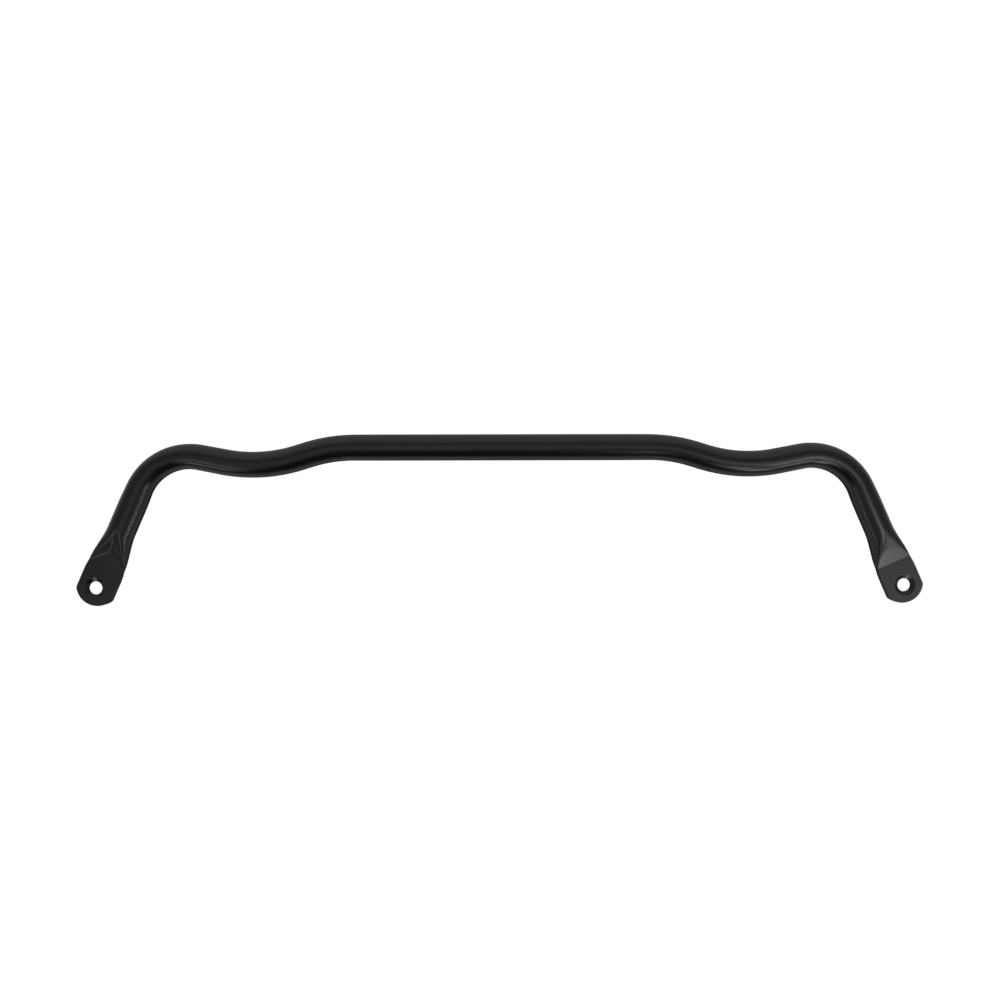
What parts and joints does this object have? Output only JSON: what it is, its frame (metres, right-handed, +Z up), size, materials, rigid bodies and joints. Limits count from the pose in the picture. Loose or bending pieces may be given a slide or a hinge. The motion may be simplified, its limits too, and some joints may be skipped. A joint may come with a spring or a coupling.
{
  "type": "sway bar",
  "caption": "Bent round steel torsion bar with a flattened, countersunk eye at the end of each arm, for an anti-roll suspension.",
  "frame": {"origin": "middle of the bar's bounding box, on the surface the bar lies on", "axes": "+X across the vehicle towards the right-hand eye, -Y along the arms towards the eyes, +Z up, square to the plane of the bends and to the eye faces"},
  "size_m": [1.025, 0.2062, 0.0318],
  "materials": {
    "black_powder_coat": "satin black powder coat over forged steel"
  },
  "bodies": {
    "root": {"sway_bar": "black_powder_coat"}
  },
  "joints": []
}
